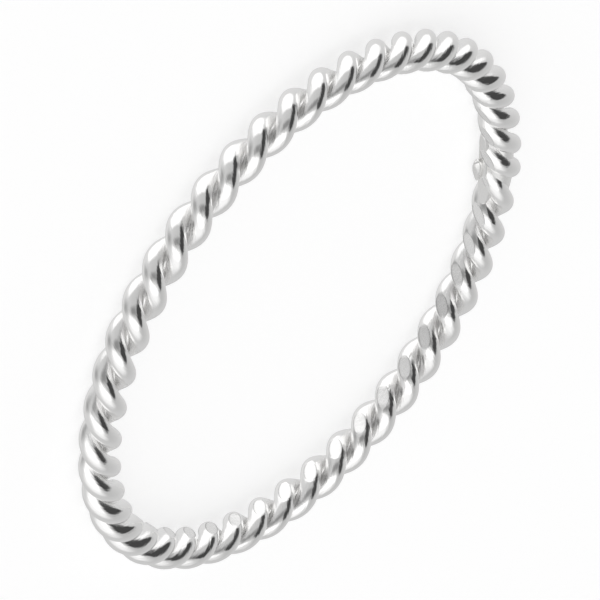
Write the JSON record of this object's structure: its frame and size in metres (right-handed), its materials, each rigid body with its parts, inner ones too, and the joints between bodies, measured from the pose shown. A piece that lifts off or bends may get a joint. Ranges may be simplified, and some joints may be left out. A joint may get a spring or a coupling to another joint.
{
  "type": "rope twist ring",
  "caption": "Plain finger ring of round silver wires twisted into a rope, soldered into a hoop and bored flat on the inside.",
  "frame": {"origin": "on the finger hole's axis, at the lowest point of the ring as it lies on its side", "axes": "+Z along the finger hole's axis, away from the surface that the ring lies on; the soldered joint is on -Y"},
  "size_m": [0.0198, 0.0198, 0.0014],
  "materials": {
    "polished_silver": "high polish, with satin flats on the inside"
  },
  "bodies": {
    "root": {"twisted_band": "polished_silver"}
  },
  "joints": []
}
